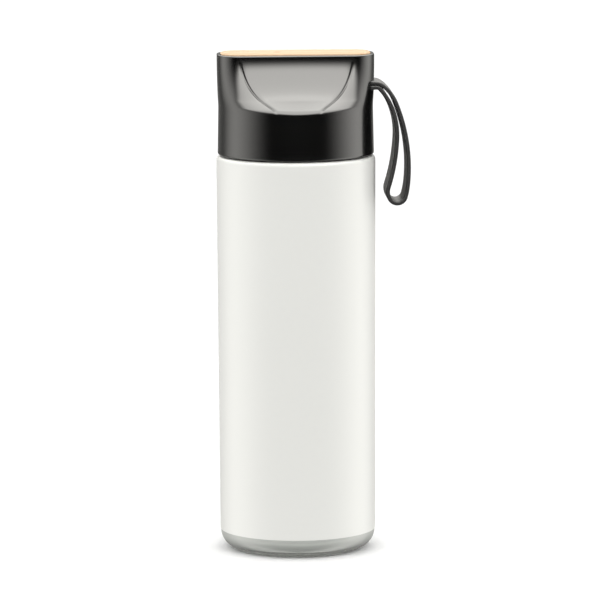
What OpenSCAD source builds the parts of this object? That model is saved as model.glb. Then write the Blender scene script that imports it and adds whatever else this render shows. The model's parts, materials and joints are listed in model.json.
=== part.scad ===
// Glass water bottle with a screw lid: coated glass body, black moulded lid pinched to a
// flat bamboo top, and a flat silicone carry loop through a slot in the lid's side.
// Z is up, the base stands on Z = 0, and the bottle's axis is the Z axis.
// The strap is on the +X side, and the wide faces of the lid's top look along +Y and -Y.

/* [Glass body] */
// Outside diameter of the body at its shoulder
body_d = 68; // [56:0.5:84]
// How much narrower the body is at its base
body_taper = 1.3; // [0:0.1:4]
// Height of the shoulder above the table
body_h = 170.5; // [120:0.5:240]
// Thickness of the side wall
glass_wall = 2.8; // [2:0.1:4]
// Thickness of the solid glass floor
glass_floor = 8; // [5:0.5:12]
// Radius of the rounded corner round the base
base_corner = 8; // [3:0.5:12]
// Radius inside between the wall and the floor
inner_corner = 5; // [2:0.5:8]
// Radius of the edge where the wall turns in to the shoulder
shoulder_edge = 1.6; // [0.8:0.1:4]
// How much thicker the shoulder is than the side wall
shoulder_extra = 1; // [0:0.5:3]
// Radius inside under the shoulder
inner_shoulder = 4; // [1:0.5:4]
// Width of the flat ring that the base stands on
foot_w = 1.35; // [1:0.05:5]
// How far the middle of the base is pushed up
punt_h = 1.2; // [0.5:0.1:3]

/* [White coat] */
// Thickness of the enamel on the outside of the glass
coat_t = 0.2; // [0.1:0.05:0.4]
// Height of the enamel's lower edge above the rounded corner of the base
coat_rise = 0.3; // [0.1:0.1:20]
// Bare width of shoulder left between the enamel and the neck
coat_neck_gap = 3; // [1:0.5:5]

/* [Neck and thread] */
// Width of the shoulder, from the body's side in to the neck
shoulder_w = 8; // [7.4:0.2:12]
// Height of the neck above the shoulder
neck_h = 16; // [13:0.5:22]
// Thickness of the neck's wall
neck_wall = 3; // [2:0.1:4]
// Radius on both edges of the neck's rim
neck_lip = 1.2; // [0.5:0.1:1.4]
// Radius where the neck meets the shoulder
neck_fillet = 1; // [0.5:0.1:2]
// Distance of a ridge's upper end below the neck's rim
thread_drop = 3; // [2:0.5:4]
// Rise of the thread in one turn
thread_lead = 8; // [6:0.5:10]
// Number of thread starts
thread_starts = 2; // [1:1:3]
// How far the thread ridges stand out
thread_h = 1.1; // [0.8:0.1:1.3]
// Width of a ridge at its root
thread_w = 2.2; // [1.4:0.1:2.6]
// Angle that each ridge runs round
thread_turn = 200; // [120:10:300]
// Free space between the two threads
thread_gap = 0.35; // [0.2:0.05:0.6]

/* [Lid shell] */
// Free space between the shoulder and the lid
seam_gap = 0.5; // [0.3:0.1:1]
// How far the lid's lower edge stands in from the body's side
lid_step = 0.4; // [0:0.1:1]
// How much the round lower part draws in up to the waist, at each side
waist_draft = 0.4; // [0:0.1:1]
// Free height between the liner's top and the waist, where the pinch starts
head_gap = 1.6; // [1.4:0.1:5]
// Height of the pinched upper part
pinch_h = 22.3; // [18:0.1:30]
// Lean of the pinched front where it meets the waist, in degrees from upright
front_lean = 62; // [54:1:66]
// How far each end of the flat top leans out past the waist
top_flare = 0.5; // [0:0.1:1.5]
// Depth of the flat top beyond the strap, at each side
cheek_w = 5; // [4:0.5:9]
// How far each corner of the flat top reaches along X
top_corner = 9.6; // [6:0.2:12]
// How far each corner of the flat top reaches along Y
corner_depth = 11.8; // [6:0.2:13]
// Half width at the waist of the arc that the flat front grows out of
front_seed = 9.2; // [3:0.2:12]
// Half width at the waist of the arc that each flat end grows out of
end_seed = 3; // [1:0.5:6]
// Thickness of the shell
shell_wall = 1.8; // [1.4:0.1:2.4]
// Radius on the lower edge of the shell
lid_edge = 1.3; // [0.5:0.1:1.6]
// Radius of the eased edge round the rim
rim_edge = 0.4; // [0.2:0.1:0.8]
// Width of the black rim round the bamboo
rim_w = 1.5; // [1:0.1:3]

/* [Bamboo top] */
// Thickness of the bamboo
bamboo_t = 3; // [2:0.1:4]
// How far the bamboo stands above the rim
bamboo_proud = 0.5; // [0.2:0.1:1]
// Free space between the bamboo and the rim
bamboo_gap = 0.1; // [0.05:0.05:0.3]
// Thickness of the adhesive pad under the bamboo
adhesive_t = 0.3; // [0.2:0.1:0.6]
// Distance of the adhesive pad's edge from the side of its recess
adhesive_inset = 1.5; // [0.5:0.5:4]
// Radius of the eased upper edge
bamboo_ease = 0.5; // [0.2:0.1:0.8]

/* [Liner and seal] */
// Thickness of the liner's wall
liner_wall = 1.6; // [1.2:0.1:2]
// Thickness of the liner's top plate
liner_plate = 2; // [1.6:0.1:3]
// Height of the flange that is welded into the shell
flange_h = 2; // [1.5:0.1:3]
// Height of the slope from the flange in to the liner's wall
flange_slope = 1; // [0.5:0.1:2]
// How far the flange presses into the shell
weld_bite = 0.05; // [0.02:0.01:0.1]
// Thickness of the silicone seal
seal_t = 2; // [1.5:0.1:3]
// Radial width of the seal
seal_w = 5; // [4.2:0.2:6]
// How far the seal reaches out past the neck
seal_over = 0.6; // [0.2:0.1:1]
// Free space above and below the seal
seal_gap = 0.05; // [0.02:0.01:0.1]

/* [Strap] */
// Width of the silicone band, along Y
strap_w = 20; // [12:0.5:22]
// Thickness of the band
strap_t = 1.76; // [1.2:0.02:2]
// Height of the slot's centre above the waist
slot_rise = 8.8; // [7:0.1:10]
// Free height above and below the band's two layers in the slot
slot_gap = 0.49; // [0.4:0.01:1]
// How far the band rests below the slot's middle
strap_sag = 0.3; // [0:0.05:0.35]
// Free space at each end of the slot
slot_side_gap = 0.6; // [0.3:0.1:1.5]
// Free space between the band's root and the lid's side
root_gap = 0.3; // [0.2:0.05:0.6]
// How far the round bead at the band's root stands proud of its two layers
root_bead = 0.15; // [0.1:0.05:0.3]
// Diameter of the steel pin inside the lid
pin_d = 2.5; // [2:0.1:3]
// Distance of the pin behind the lid's outer side
pin_depth = 9.6; // [8:0.2:14]
// Thickness of each post that holds the pin
post_t = 2.6; // [2:0.1:3]
// Width of post left at each side of the pin's hole
post_wall = 2; // [1.5:0.1:3]
// Free space between the band and a post
post_gap = 0.5; // [0.3:0.1:1]

/* [Hidden] */
$fn = 96;
quarter_steps = 16; // points on each quarter of a lid section
level_steps = 13;   // sections up the pinched part
end_share = 0.125;  // share of a quarter's points on the straight at the end
front_share = 0.25; // share of a quarter's points on the straight at the front
punt_steps = 4;     // points from the middle of the base to its foot ring
ridge_step = 10;    // degrees between the rings of a thread ridge
fade_rings = 2;     // rings over which a ridge grows from its tip
tip_share = 0.15;   // share of the ridge's height that its tip has
join = 0.3;         // depth to which a ridge or a post is sunk in its wall
past = 1;           // how far a cutter runs past the face that it cuts
mid_ease = 1 - cos(45); // share of an eased edge's radius at the middle of its arc

body_r = body_d / 2;
base_r = body_r - body_taper / 2;
foot_r = base_r - base_corner - foot_w;
coat_start = base_corner + coat_rise;
shoulder_z = body_h - glass_wall - shoulder_extra;
neck_r = body_r - shoulder_w;
neck_in_r = neck_r - neck_wall;
neck_top = body_h + neck_h;
lip = min(neck_lip, neck_wall * 0.45);
ridge_z = neck_top - thread_drop;
seal_z = neck_top + seal_gap;
seal_r = neck_r + seal_over;
plate_z = seal_z + seal_t + seal_gap;
plate_top = plate_z + liner_plate;
lid_z = body_h + seam_gap;
waist_z = plate_top + head_gap;
rim_z = waist_z + pinch_h;
lid_r = body_r - lid_step;
waist_r = lid_r - waist_draft;
top_x = waist_r + top_flare;
top_y = strap_w / 2 + cheek_w;
liner_in_r = neck_r + thread_h + thread_gap;
liner_r = liner_in_r + liner_wall;
flange_z = lid_z + lid_edge;
recess_t = bamboo_t - bamboo_proud + adhesive_t;
slot_z = waist_z + slot_rise;
slot_h = 2 * (strap_t + slot_gap);
pin_reach = strap_w / 2 + post_gap + post_t;

// Points of an arc about a centre, from one angle to another
function arc(c, r, a0, a1, n = 8) =
    [for (i = [0:n]) let (a = a0 + (a1 - a0) * i / n) c + r * [cos(a), sin(a)]];

// ---- glass body -------------------------------------------------------------------------

// Outside radius of the tapering wall at height z
function wall_r(z) =
    base_r + (body_r - base_r) * (z - base_corner) / (body_h - shoulder_edge - base_corner);

// Outside of the body from its foot to the middle of its shoulder
body_side = concat(
    arc([base_r - base_corner, base_corner], base_corner, -90, 0, 10),
    arc([body_r - shoulder_edge, body_h - shoulder_edge], shoulder_edge, 0, 90));

// The base is pushed up in the middle, as a shallow dome inside its foot ring
punt = [for (i = [0:punt_steps]) let (s = i / punt_steps) [foot_r * s, punt_h * (1 - s * s)]];

module glass_bottle() {
    color([0.72, 0.79, 0.76, 0.6]) {
        rotate_extrude() polygon(concat(
            punt,
            body_side,
            arc([neck_r + neck_fillet, body_h + neck_fillet], neck_fillet, 270, 180, 4),
            arc([neck_r - lip, neck_top - lip], lip, 0, 90, 5),
            arc([neck_in_r + lip, neck_top - lip], lip, 90, 180, 5),
            [[neck_in_r, shoulder_z]],
            arc([body_r - glass_wall - inner_shoulder, shoulder_z - inner_shoulder],
                inner_shoulder, 90, 0, 6),
            arc([wall_r(glass_floor + inner_corner) - glass_wall - inner_corner,
                 glass_floor + inner_corner], inner_corner, 0, -90, 6),
            [[0, glass_floor]]));
        thread(neck_r, 1, thread_h, ridge_z);
    }
}

module white_coat() {
    edge = [body_r - shoulder_edge, body_h - shoulder_edge];
    end_r = neck_r + coat_neck_gap;
    color([0.93, 0.93, 0.91])
        rotate_extrude() polygon(concat(
            [[wall_r(coat_start), coat_start], [wall_r(coat_start) + coat_t, coat_start]],
            arc(edge, shoulder_edge + coat_t, 0, 90),
            [[end_r, body_h + coat_t], [end_r, body_h]],
            arc(edge, shoulder_edge, 90, 0)));
}

// ---- thread -----------------------------------------------------------------------------

// Ridges that wind round a wall of radius r, standing out (side = 1) or in (side = -1),
// with the middle of the first one ending at height z_end
module thread(r, side, h, z_end) {
    steps = ceil(thread_turn / ridge_step);
    for (s = [0:thread_starts - 1]) polyhedron(
        points = [for (i = [0:steps])
            let (turn = thread_turn * i / steps,
                 a = 360 * s / thread_starts - turn,
                 z = z_end - thread_lead * turn / 360,
                 end = min(1, min(i, steps - i) / fade_rings),
                 out = h * (tip_share + (1 - tip_share) * end),
                 root = thread_w / 2, crest = thread_w / 4)
            each [for (p = [[-join, -root], [out, -crest], [out, crest], [-join, root]])
                [(r + side * p[0]) * cos(a), (r + side * p[0]) * sin(a), z + p[1]]]],
        faces = turned(concat(
            [[0, 1, 2, 3]],
            [for (i = [0:steps - 1]) for (k = [0:3])
                [4 * i + k, 4 * i + 4 + k, 4 * i + 4 + (k + 1) % 4, 4 * i + (k + 1) % 4]],
            [[4 * steps + 3, 4 * steps + 2, 4 * steps + 1, 4 * steps]]), side < 0));
}

// The same faces seen from the other side when flip is true
function turned(faces, flip) =
    flip ? [for (f = faces) [for (i = [len(f) - 1:-1:0]) f[i]]] : faces;

// ---- seal and liner ---------------------------------------------------------------------

module seal_ring() {
    color([0.88, 0.9, 0.9])
        translate([0, 0, seal_z]) difference() {
            cylinder(r = seal_r, h = seal_t);
            translate([0, 0, -past]) cylinder(r = seal_r - seal_w, h = seal_t + 2 * past);
        }
}

module lid_liner() {
    post_r = pin_d / 2 + post_wall;
    weld_r = shell_inner_r(flange_z) + weld_bite;
    foot_z = plate_top - join;
    color([0.9, 0.9, 0.88]) {
        rotate_extrude() polygon([
            [liner_in_r, flange_z], [weld_r, flange_z], [weld_r, flange_z + flange_h],
            [liner_r, flange_z + flange_h + flange_slope], [liner_r, plate_top],
            [0, plate_top], [0, plate_z], [liner_in_r, plate_z]]);
        thread(liner_in_r, -1, thread_h, ridge_z - thread_lead / thread_starts / 2);
        for (side = [-1, 1]) difference() {
            translate([pin_x, side * (pin_reach - post_t / 2), 0]) {
                translate([0, 0, slot_z]) rotate([90, 0, 0])
                    cylinder(r = post_r, h = post_t, center = true);
                translate([-post_r, -post_t / 2, foot_z])
                    cube([2 * post_r, post_t, slot_z - foot_z]);
            }
            translate([pin_x, 0, slot_z]) rotate([90, 0, 0])
                cylinder(d = pin_d, h = 2 * (pin_reach + past), center = true);
        }
    }
}

// ---- lid shell --------------------------------------------------------------------------

// Height up the pinched part, from 0 at the waist to 1 at the rim
function rise(z) = max(0, min(1, (z - waist_z) / pinch_h));

// Half depth along Y: an arc that is upright at the rim, then a straight slope to the waist.
// The lean is never more than that of an arc that goes all the way.
pinch_in = waist_r - top_y;
pinch_turn = min(front_lean, 2 * atan(pinch_in / pinch_h));
pinch_r = (pinch_h * sin(pinch_turn) - pinch_in * cos(pinch_turn)) / (1 - cos(pinch_turn));
function half_d(z) = let (down = pinch_h * (1 - rise(z)))
    down < pinch_r * sin(pinch_turn) ? top_y + pinch_r - sqrt(pinch_r ^ 2 - down ^ 2)
    : waist_r - (pinch_h - down) * tan(pinch_turn);

// How far a section has gone from the round waist (0) to the flat top (1)
function change(z) = (waist_r - half_d(z)) / (waist_r - top_y);

// Half width along X: nearly upright
function half_w(z) = waist_r + top_flare * change(z);

// A quarter of a plan is walked by u, from its end on the X axis (0) to its front on the
// Y axis (1): first a straight, then the corner, then the long front straight.
top_f = top_x - top_corner;
top_c = top_y - corner_depth;
function along(u, end, front) = u < end_share ? end * u / end_share
    : u > 1 - front_share ? 90 - front * (1 - u) / front_share
    : end + (90 - end - front) * (u - end_share) / (1 - end_share - front_share);

// The point of the flat top's plan at u, pulled in by t
function top_at(u, t) = u < end_share ? [top_x - t, top_c * u / end_share]
    : u > 1 - front_share ? [top_f * (1 - u) / front_share, top_y - t]
    : let (a = along(u, 0, 0))
      [top_f + (top_corner - t) * cos(a), top_c + (corner_depth - t) * sin(a)];

// The point of a round plan of radius r at u: the front straight of the top grows out of a
// short arc of it, so the pinch is narrow at the waist and wide at the rim
function round_at(u, r) =
    let (a = along(u, asin(end_seed / r), asin(front_seed / r))) r * [cos(a), sin(a)];

// A whole plan at height z, part s of the way from round to flat, pulled in by t
function plan(s, r, t, z) = [for (q = [0:3]) for (k = [0:quarter_steps - 1])
    let (v = k / quarter_steps, u = q % 2 == 0 ? v : 1 - v,
         m = (1 - s) * round_at(u, r - t) + s * top_at(u, t))
    [(q == 0 || q == 3 ? 1 : -1) * m[0], (q < 2 ? 1 : -1) * m[1], z]];

// A section of the pinched part, as it is at height z, placed at height at_z
function section(z, t, at_z) = plan(change(z), waist_r, t, at_z);

// Outside and inside radius of the round skirt
function skirt_r(z) = lid_r - waist_draft * (z - lid_z) / (waist_z - lid_z);
function shell_inner_r(z) = skirt_r(z) - shell_wall;

function round_ring(r, z) = plan(0, r, 0, z);

// Height of a section of the pinched part, for a share s of the levels: they lie close
// together near the waist, where the front leans most
function climb(s) = waist_z + (pinch_h - rim_edge) * s * s * (1.5 - s / 2);

// Closed skin over a list of rings of equal length, with a fan about the axis at both ends
module skin(rings) {
    n = len(rings[0]);
    m = len(rings);
    polyhedron(
        points = concat([for (ring = rings) each ring],
                        [[0, 0, rings[0][0][2]], [0, 0, rings[m - 1][0][2]]]),
        faces = [
            for (k = [0:n - 1]) let (k2 = (k + 1) % n) each concat(
                [[m * n, k, k2]],
                [for (i = [0:m - 2])
                    each [[i * n + k, (i + 1) * n + k, i * n + k2],
                          [i * n + k2, (i + 1) * n + k, (i + 1) * n + k2]]],
                [[m * n + 1, (m - 1) * n + k2, (m - 1) * n + k]])]);
}

module lid_shell() {
    ceiling_z = rim_z - recess_t - shell_wall;
    levels = [for (i = [1:level_steps]) i / level_steps];
    inner_levels = [for (i = [level_steps:-1:1]) i / level_steps];
    under_waist = waist_z - shell_wall - join;
    color([0.07, 0.07, 0.07]) difference() {
        skin(concat(
            // the cavity, from its ceiling down to the lower edge
            [for (s = inner_levels) let (z = waist_z + (ceiling_z - waist_z) * s)
                section(z, shell_wall, z - shell_wall * (1 - rise(z)))],
            [round_ring(shell_inner_r(under_waist), under_waist)],
            [round_ring(shell_inner_r(lid_z), lid_z)],
            // the rounded lower edge and the skirt
            [for (p = arc([lid_r - lid_edge, lid_z + lid_edge], lid_edge, -90, 0, 5))
                round_ring(p[0], p[1])],
            [section(waist_z, 0, waist_z)],
            // the pinched part, the eased rim and the recess for the bamboo
            [for (s = levels) section(climb(s), 0, climb(s))],
            [section(rim_z, rim_edge * mid_ease, rim_z - rim_edge * mid_ease),
             section(rim_z, rim_edge, rim_z)],
            [section(rim_z, rim_w, rim_z), section(rim_z, rim_w, rim_z - recess_t)]));
        slot_cutter();
    }
}

// A prism with round ends that runs through the lid's side and stops short of the pin
module slot_cutter() {
    half = strap_w / 2 + slot_side_gap - slot_h / 2;
    translate([wall_x - 3 * shell_wall, 0, slot_z]) rotate([90, 0, 90])
        linear_extrude(6 * shell_wall) {
            square([2 * half, slot_h], center = true);
            for (side = [-1, 1]) translate([side * half, 0]) circle(d = slot_h);
        }
}

// ---- bamboo -----------------------------------------------------------------------------

module bamboo_adhesive() {
    inset = rim_w + adhesive_inset;
    color([0.85, 0.82, 0.7]) skin([
        for (z = [rim_z - recess_t, rim_z - recess_t + adhesive_t]) section(rim_z, inset, z)]);
}

module bamboo_top() {
    inset = rim_w + bamboo_gap;
    top = rim_z + bamboo_proud;
    mid = bamboo_ease * mid_ease;
    color([0.87, 0.72, 0.5]) skin([
        section(rim_z, inset, top - bamboo_t),
        section(rim_z, inset, top - bamboo_ease),
        section(rim_z, inset + mid, top - mid),
        section(rim_z, inset + bamboo_ease, top)]);
}

// ---- strap ------------------------------------------------------------------------------

// Where the band leaves the lid: the two layers lie on each other here
wall_x = half_w(slot_z);
pin_x = wall_x - pin_depth;
root_r = strap_t + root_bead;
root_x = wall_x + root_gap + root_r;
root_z = slot_z - strap_sag;

module strap_pin() {
    color([0.75, 0.76, 0.78]) translate([pin_x, 0, slot_z]) rotate([90, 0, 0])
        cylinder(d = pin_d, h = 2 * pin_reach, center = true);
}

// The part of the band inside the lid: both layers, folded round the pin
module strap_bight() {
    color([0.1, 0.1, 0.1]) translate([0, strap_w / 2, 0]) rotate([90, 0, 0])
        linear_extrude(strap_w) difference() {
            union() {
                translate([pin_x, slot_z]) circle(d = pin_d + 2 * strap_t);
                translate([pin_x, root_z - strap_t]) square([wall_x - pin_x, 2 * strap_t]);
            }
            translate([pin_x, slot_z]) circle(d = pin_d);
        }
}

// The loop outside the lid as [length, turn] arcs of its middle line, from the upper layer
// at the root, out over the bend, down, round the fold and back up to the lower layer
strap_arcs = [[3.7, -18], [7.1, -20], [34.7, -27], [6.2, -10], [8.7, -135], [5.2, -48],
              [9.5, 7], [11.8, 8], [12.4, 22], [10.9, 23], [0.6, 18]];
root_tilt = -30;    // slope at which the band leaves its root
arc_steps = 6;

// Middle line walked in short steps: each entry is [x, z, heading]
function walk(arcs, at, i = 0, k = 0) = i >= len(arcs) ? [at] :
    let (step = arcs[i][0] / arc_steps, turn = arcs[i][1] / arc_steps, h = at[2] + turn / 2,
         next = [at[0] + step * cos(h), at[1] + step * sin(h), at[2] + turn])
    concat([at], k + 1 < arc_steps ? walk(arcs, next, i, k + 1) : walk(arcs, next, i + 1, 0));

module strap_loop() {
    line = walk(strap_arcs, [root_x - strap_t / 2 * sin(root_tilt),
                             root_z + strap_t / 2 * cos(root_tilt), root_tilt]);
    side = function (t) [for (p = line) [p[0] - t * sin(p[2]), p[1] + t * cos(p[2])]];
    color([0.1, 0.1, 0.1]) rotate([90, 0, 0]) difference() {
        union() {
            linear_extrude(strap_w, center = true) polygon(side(strap_t / 2));
            root(strap_w);
        }
        difference() {
            linear_extrude(strap_w + 2 * past, center = true) polygon(side(-strap_t / 2));
            root(strap_w + 4 * past);
        }
    }
    module root(w) translate([root_x, root_z]) cylinder(r = root_r, h = w, center = true);
}

glass_bottle();
white_coat();
seal_ring();
lid_liner();
lid_shell();
bamboo_adhesive();
bamboo_top();
strap_pin();
strap_bight();
strap_loop();
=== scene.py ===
# %% [markdown]
# # A coated glass bottle with a black screw lid and a bamboo top
#
# This file is a lesson in cells. Each one makes one piece or one finish of a half-litre glass
# bottle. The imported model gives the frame: every size that it knows is read from it, and the
# pieces made here are finer surfaces that stand where its plain solids stand.

# %% Load the frame
import json

import bpy
import numpy as np
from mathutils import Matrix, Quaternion, Vector


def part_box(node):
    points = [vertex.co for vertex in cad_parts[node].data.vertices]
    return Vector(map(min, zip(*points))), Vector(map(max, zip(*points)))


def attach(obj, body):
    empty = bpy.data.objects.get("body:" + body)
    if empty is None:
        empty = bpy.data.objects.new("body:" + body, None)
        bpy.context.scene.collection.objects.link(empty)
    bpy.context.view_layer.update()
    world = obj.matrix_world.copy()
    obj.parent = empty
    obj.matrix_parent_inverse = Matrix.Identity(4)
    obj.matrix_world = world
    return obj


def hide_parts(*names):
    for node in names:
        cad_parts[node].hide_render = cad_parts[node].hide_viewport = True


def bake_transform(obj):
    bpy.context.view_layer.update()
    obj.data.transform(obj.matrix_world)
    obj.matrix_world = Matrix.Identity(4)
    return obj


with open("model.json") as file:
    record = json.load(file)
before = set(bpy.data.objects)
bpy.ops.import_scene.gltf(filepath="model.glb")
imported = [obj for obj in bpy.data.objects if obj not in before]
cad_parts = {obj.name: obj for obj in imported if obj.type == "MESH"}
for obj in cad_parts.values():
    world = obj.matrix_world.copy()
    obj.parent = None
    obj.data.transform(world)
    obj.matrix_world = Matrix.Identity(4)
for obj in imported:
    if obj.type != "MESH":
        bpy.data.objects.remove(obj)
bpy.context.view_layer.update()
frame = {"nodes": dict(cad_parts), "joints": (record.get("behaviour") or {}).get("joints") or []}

# %% [markdown]
# ## Sizes
#
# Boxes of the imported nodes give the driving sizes. What a box can't say, such as a corner
# radius, is a named value here, in metres, through MM.

# %% Read the driving sizes
MM = 0.001
glass_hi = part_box("glass_bottle")[1]
coat_lo, coat_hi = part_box("white_coat")
shell_lo, shell_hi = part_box("lid_shell")
bamboo_lo, bamboo_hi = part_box("bamboo_top")
seal_lo, seal_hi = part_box("seal_ring")
pin_lo, pin_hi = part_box("strap_pin")
bight_lo, bight_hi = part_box("strap_bight")
band_lo, band_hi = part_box("strap_loop")

BODY_R = glass_hi.x                  # outside radius of the glass at its shoulder
BASE_R = 33.35 * MM                  # the same at the base: the wall tapers a little
COAT_T = coat_hi.x - glass_hi.x      # thickness of the enamel
BODY_H = coat_hi.z - COAT_T          # height of the shoulder
NECK_TOP = glass_hi.z
NECK_R = 26 * MM
NECK_WALL = 3 * MM
WALL = 2.8 * MM
FLOOR_T = 8 * MM
BASE_CORNER = 8 * MM
SHOULDER_EDGE = 1.6 * MM
print("body", BODY_R, BODY_H, "neck top", NECK_TOP, "coat", COAT_T)

# %% [markdown]
# ## Surfaces from formulas
#
# Each piece is a grid of points that numpy works out in one go: rows run along an outline,
# columns run round it. One function turns such a grid into a mesh. It closes the grid where
# it wraps, closes an open end with a fan about its middle, and turns the faces outwards by
# the sign of the volume that they enclose.


# %% Grid to mesh
def grid_piece(name, points, close_rows=False):
    """A mesh from points[row, column, xyz]. Columns always wrap. Rows wrap if close_rows,
    and otherwise each end is closed by triangles about the middle of its row."""
    rows, columns = points.shape[:2]
    index = np.arange(rows * columns).reshape(rows, columns)
    right = np.roll(index, -1, axis=1)
    below = index if close_rows else index[:-1]
    above = np.roll(index, -1, axis=0) if close_rows else index[1:]
    across = np.roll(right, -1, axis=0) if close_rows else right[1:]
    beside = right if close_rows else right[:-1]
    quads = np.stack([below, beside, across, above], -1).reshape(-1, 4)
    verts = points.reshape(-1, 3)
    fans = np.zeros((0, 3), int)
    if not close_rows:
        first, last = rows * columns, rows * columns + 1
        verts = np.vstack([verts, points[0].mean(0), points[-1].mean(0)])
        start = np.stack([np.full(columns, first), right[0], index[0]], -1)
        end = np.stack([np.full(columns, last), index[-1], right[-1]], -1)
        fans = np.vstack([start, end])
    a, b, c, d = (verts[quads[:, k]] for k in range(4))
    volume = np.einsum("ij,ij->", a, np.cross(b, c)) + np.einsum("ij,ij->", a, np.cross(c, d))
    p, q, r = (verts[fans[:, k]] for k in range(3))
    volume += np.einsum("ij,ij->", p, np.cross(q, r))
    if volume < 0:
        quads, fans = quads[:, ::-1], fans[:, ::-1]
    mesh = bpy.data.meshes.new(name)
    mesh.from_pydata(verts.tolist(), [], quads.tolist() + fans.tolist())
    mesh.polygons.foreach_set("use_smooth", np.ones(len(mesh.polygons), bool))
    piece = bpy.data.objects.new(name, mesh)
    bpy.context.scene.collection.objects.link(piece)
    print(f"{name}: {len(mesh.vertices)} points, {abs(volume) / 6e-9:.0f} mm3")
    return piece


# %% [markdown]
# A moulded or blown outline is straight stretches joined by round corners. The next function
# takes only the corners, each with its radius, and gives evenly close points. Close points
# beside each corner keep the smooth shading from bleeding into the flats.


# %% Outline with rounded corners
ARC_STEP = 0.16                      # turn between points of a corner, in radians
BESIDE = 0.15 * MM                   # distance of the first point on a straight from its end


def outline(corners, step=1.2 * MM, closed=False):
    """Points along straights between corners (a, b, radius). Each corner is an arc that
    touches both of its straights at radius * tan(half its turn) from the corner. step is
    the spacing on the straights, as one value or as one for the straight after each corner."""
    corners = np.array(corners, float)
    step = np.broadcast_to(step, len(corners))
    where, radius = corners[:, :2], corners[:, 2]
    before = np.roll(where, 1, axis=0) - where
    after = np.roll(where, -1, axis=0) - where
    before /= np.linalg.norm(before, axis=1, keepdims=True) + 1e-12
    after /= np.linalg.norm(after, axis=1, keepdims=True) + 1e-12
    pieces = []
    for k in range(len(corners)):
        open_end = not closed and k in (0, len(corners) - 1)
        if open_end or radius[k] <= 0:
            pieces.append(where[k : k + 1])
            continue
        cosine = np.clip(before[k] @ after[k], -1, 1)
        half_turn = (np.pi - np.arccos(cosine)) / 2
        reach = radius[k] * np.tan(half_turn)
        middle = before[k] + after[k]
        centre = where[k] + middle / np.linalg.norm(middle) * radius[k] / np.cos(half_turn)
        start, end = where[k] + before[k] * reach - centre, where[k] + after[k] * reach - centre
        turn = np.arctan2(start[0] * end[1] - start[1] * end[0], start @ end)
        t = np.linspace(0, turn, max(4, int(abs(turn) / ARC_STEP)))[:, None]
        swung = start * np.cos(t) + np.array([-start[1], start[0]]) * np.sin(t)
        pieces.append(centre + swung)
    spaced = []
    for k, piece in enumerate(pieces):
        spaced.append(piece)
        if k + 1 == len(pieces) and not closed:
            break
        p, q = piece[-1], pieces[(k + 1) % len(pieces)][0]
        length = np.linalg.norm(q - p)
        count = int(length / step[k])
        if count < 1:
            continue
        ends = min(BESIDE, length / 4)
        inner = np.linspace(ends / length, 1 - ends / length, count + 1)[:, None]
        spaced.append(p + (q - p) * inner)
    return np.vstack(spaced)


def turned(name, profile, around=224, closed=False, lift=None):
    """A surface of revolution about Z: column angle a, row (r, z) of the profile. lift is
    a function of r, z and a, as whole arrays, that is added to r, such as a thread."""
    angle = np.linspace(0, 2 * np.pi, around, endpoint=False)
    r, z = (profile[:, k : k + 1] + 0 * angle for k in range(2))
    if lift is not None:
        r = r + lift(r, z, angle + 0 * r)
    points = np.stack([r * np.cos(angle), r * np.sin(angle), z], -1)
    return grid_piece(name, points, close_rows=closed)


# %% [markdown]
# ## Glass body
#
# The body is blown soda-lime glass with a thick solid floor. The whole wall is one closed
# skin, outside and inside, because light has to enter and leave it at true surfaces. The
# thread is a ridge that winds round the neck: the same grid is pushed out by a bump whose
# middle climbs with the angle, so it needs no joining.

# %% Thread bump
THREAD_LEAD = 8 * MM
THREAD_STARTS = 2
THREAD_H = 1.1 * MM
THREAD_W = 2.2 * MM
THREAD_TURN = np.radians(200)
THREAD_TOP = NECK_TOP - 3 * MM
THREAD_GAP = 0.35 * MM
THREAD_FULL = 1.6                    # above 1 it cuts the ridge's cosine flat at its crest
THREAD_FADE = 0.3                    # turn over which an end fades out, in radians
THREAD_REACH = 0.02 * MM             # points this near to the thread's radius are moved


def thread(z_end, side, r_from):
    """Push along r, at height z and angle a: a ridge of height THREAD_H whose middle is
    z_end - lead * turn / (2 pi), where turn is how far a lies before the ridge's end. It is
    a raised cosine across, fades at both ends, and applies only to points at r_from."""

    def lift(r, z, a):
        total = np.zeros_like(r)
        for k in range(THREAD_STARTS):
            turn = np.mod(2 * np.pi * k / THREAD_STARTS - a, 2 * np.pi)
            middle = z_end - THREAD_LEAD * turn / (2 * np.pi)
            across = np.clip(np.abs(z - middle) / (THREAD_W / 2), 0, 1)
            bump = np.clip(THREAD_FULL * (0.5 + 0.5 * np.cos(np.pi * across)), 0, 1)
            fade = np.clip(np.minimum(turn, THREAD_TURN - turn) / THREAD_FADE, 0, 1)
            total += THREAD_H * bump * fade * fade * (3 - 2 * fade)
        return side * total * (np.abs(r - r_from) < THREAD_REACH)

    return lift


# %% Glass bottle
def wall_r(z):
    """Outside radius at height z: straight from the base corner to the shoulder edge."""
    share = (z - BASE_CORNER) / (BODY_H - SHOULDER_EDGE - BASE_CORNER)
    return BASE_R + (BODY_R - BASE_R) * share


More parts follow.
